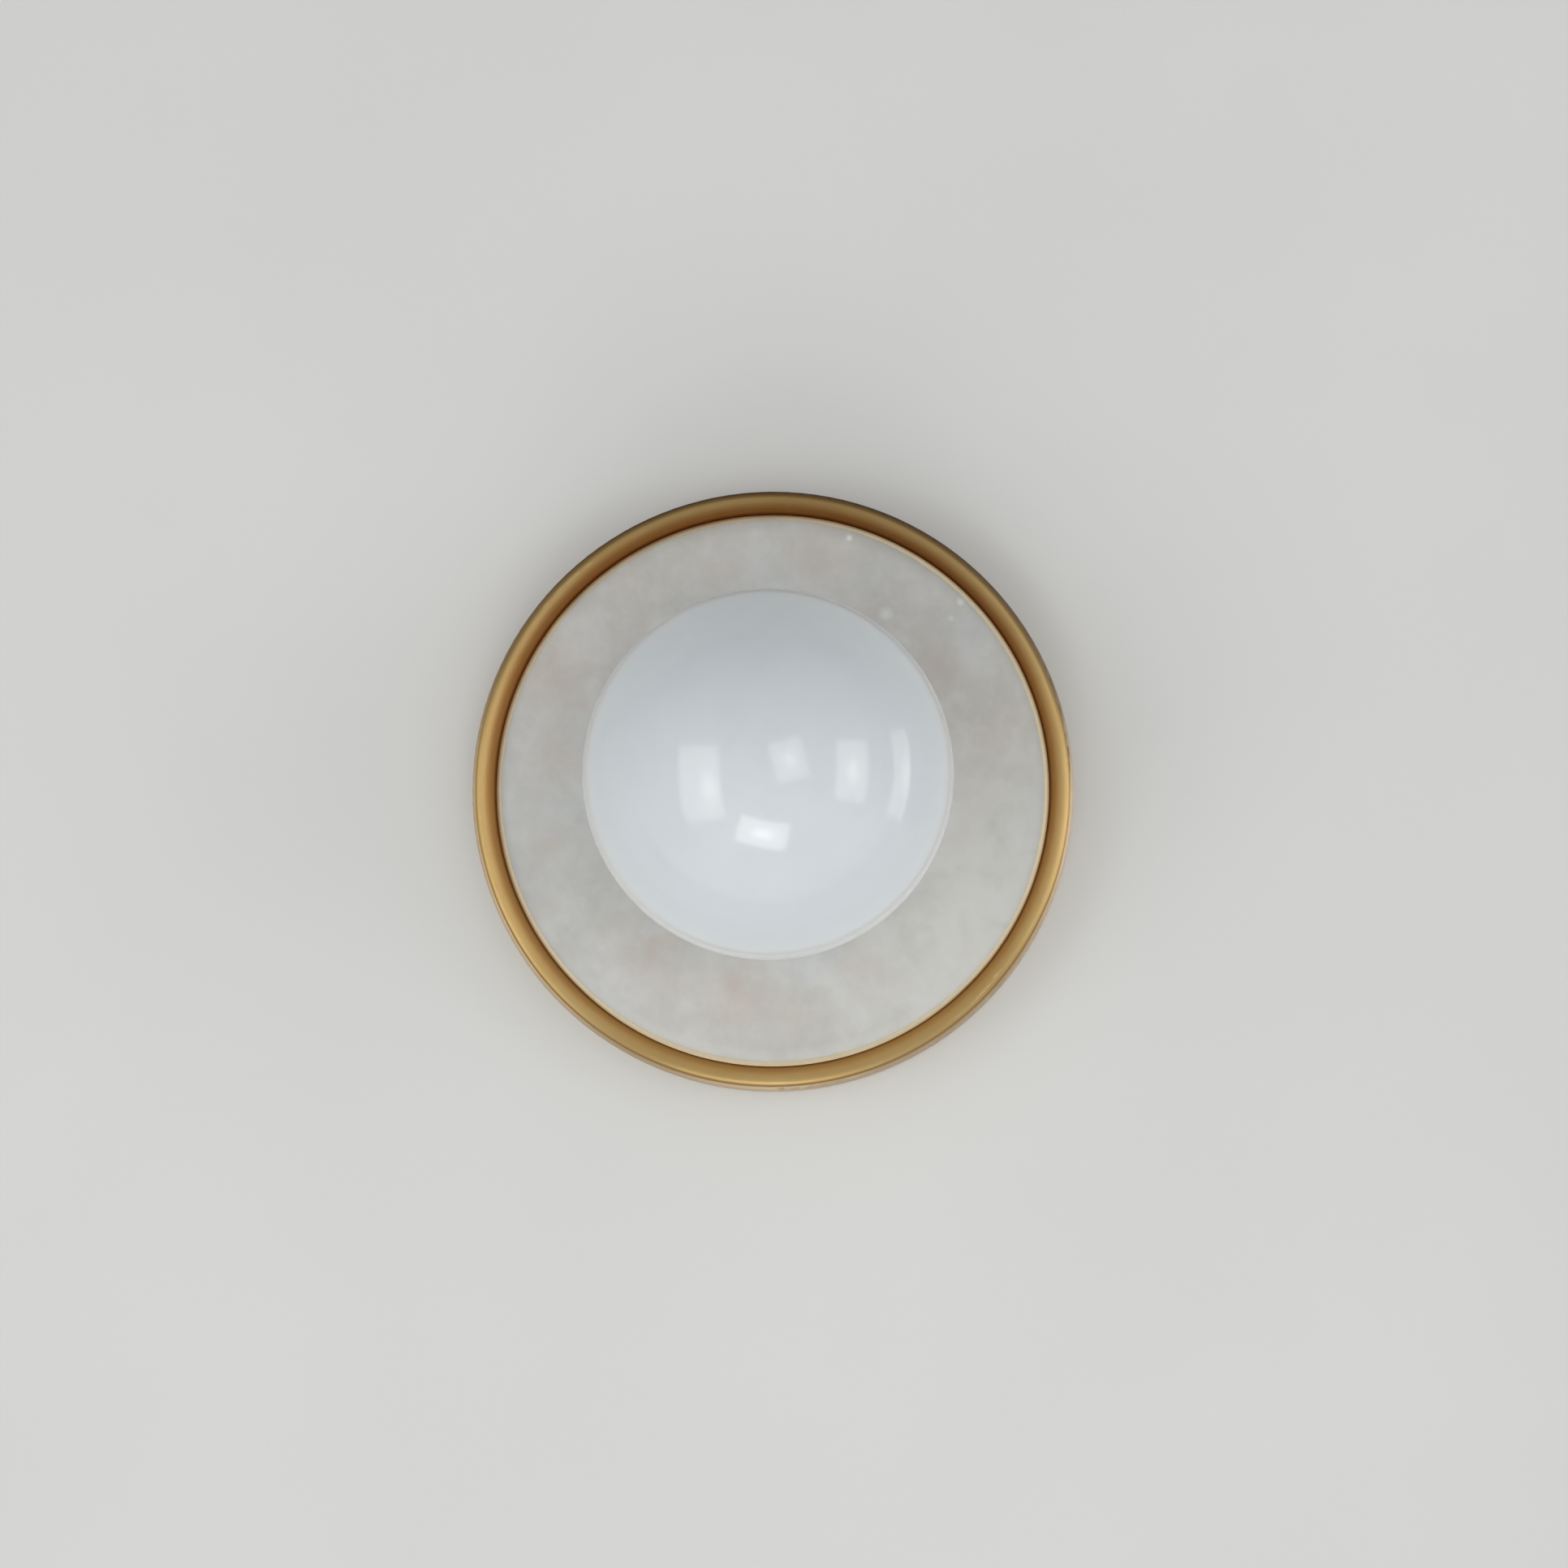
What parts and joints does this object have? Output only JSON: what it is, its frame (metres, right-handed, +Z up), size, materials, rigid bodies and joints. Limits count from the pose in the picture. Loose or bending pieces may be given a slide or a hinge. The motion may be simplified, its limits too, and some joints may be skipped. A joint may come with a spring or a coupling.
{
  "type": "wall sconce",
  "caption": "Round wall sconce: a gloss opal glass globe in front of a pale stone disc, framed by a rounded satin brass ring on a shallow brass pan with a slotted mounting bar.",
  "frame": {"origin": "centre of the pan on the wall plane, midway between the two outlet box slots", "axes": "+X right as seen from the room, +Y into the wall, +Z up; the globe faces -Y"},
  "size_m": [0.254, 0.1795, 0.254],
  "materials": {
    "satin_brass": "satin, lightly aged",
    "turned_brass": "turned, satin",
    "alabaster": "honed, cloudy",
    "opal_glass": "gloss opal white",
    "foam": "closed-cell foam",
    "silicone": "translucent white",
    "zinc_steel": "zinc plated",
    "black_steel": "black oxide",
    "green_steel": "green plated",
    "tinned_copper": "tinned",
    "holder_ceramic": "glazed white",
    "contact_brass": "bright",
    "screw_brass": "nickel plated",
    "block_nylon": "moulded, natural",
    "bushing_nylon": "moulded, black",
    "lamp_ceramic": "white, matt",
    "frosted_cover": "frosted",
    "pin_wire": "nickel plated",
    "board_white": "solder mask",
    "phosphor": "phosphor",
    "live_cover": "black insulation",
    "neutral_cover": "white insulation",
    "ground_cover": "green insulation"
  },
  "bodies": {
    "base": {"back_pan": "satin_brass", "brass_ring": "satin_brass", "globe_gallery": "turned_brass", "stone_disc": "alabaster", "stone_cushion": "foam", "mounting_bar": "zinc_steel", "weld_nuts": "zinc_steel", "hollow_nipple": "zinc_steel", "front_locknut": "zinc_steel", "rear_locknut": "zinc_steel", "rear_lock_washer": "zinc_steel", "lampholder_bracket": "zinc_steel", "ring_screws": "zinc_steel", "lampholder_screws": "zinc_steel", "terminal_block_screw": "zinc_steel", "ground_screw": "green_steel", "ground_lug": "tinned_copper", "lampholder": "holder_ceramic", "lampholder_contacts": "contact_brass", "terminal_clamps": "contact_brass", "terminal_screws": "screw_brass", "terminal_block": "block_nylon", "nipple_bushing": "bushing_nylon", "live_lead": "live_cover", "neutral_lead": "neutral_cover", "ground_lead": "ground_cover"},
    "globe_seal": {"globe_seal": "silicone"},
    "globe": {"opal_globe": "opal_glass"},
    "lamp": {"lamp_base": "lamp_ceramic", "lamp_capsule": "frosted_cover", "lamp_pins": "pin_wire", "lamp_led_board": "board_white", "lamp_led_chips": "phosphor"},
    "left_screw": {"left_set_screw": "black_steel"},
    "right_screw": {"right_set_screw": "black_steel"}
  },
  "joints": [
    {"name": "globe_travel", "type": "slide", "parent": "base", "child": "globe_seal", "axis": [0, -1, 0], "range_m": [0, 0.009]},
    {"name": "globe_turn", "type": "hinge", "parent": "globe_seal", "child": "globe", "pos_m": [0, -0.1, 0], "axis": [0, -1, 0], "range_deg": [0, 648]},
    {"name": "lamp_pull", "type": "slide", "parent": "base", "child": "lamp", "axis": [0, -1, 0], "range_m": [0, 0.03]},
    {"name": "left_screw_travel", "type": "slide", "parent": "base", "child": "left_screw", "axis": [-1, 0, 0], "range_m": [0, 0.004]},
    {"name": "right_screw_travel", "type": "slide", "parent": "base", "child": "right_screw", "axis": [1, 0, 0], "range_m": [0, 0.004]}
  ],
  "couplings": [
    {"joint": "globe_travel", "follows": "globe_turn", "m_per_rad": 0.00079577}
  ]
}
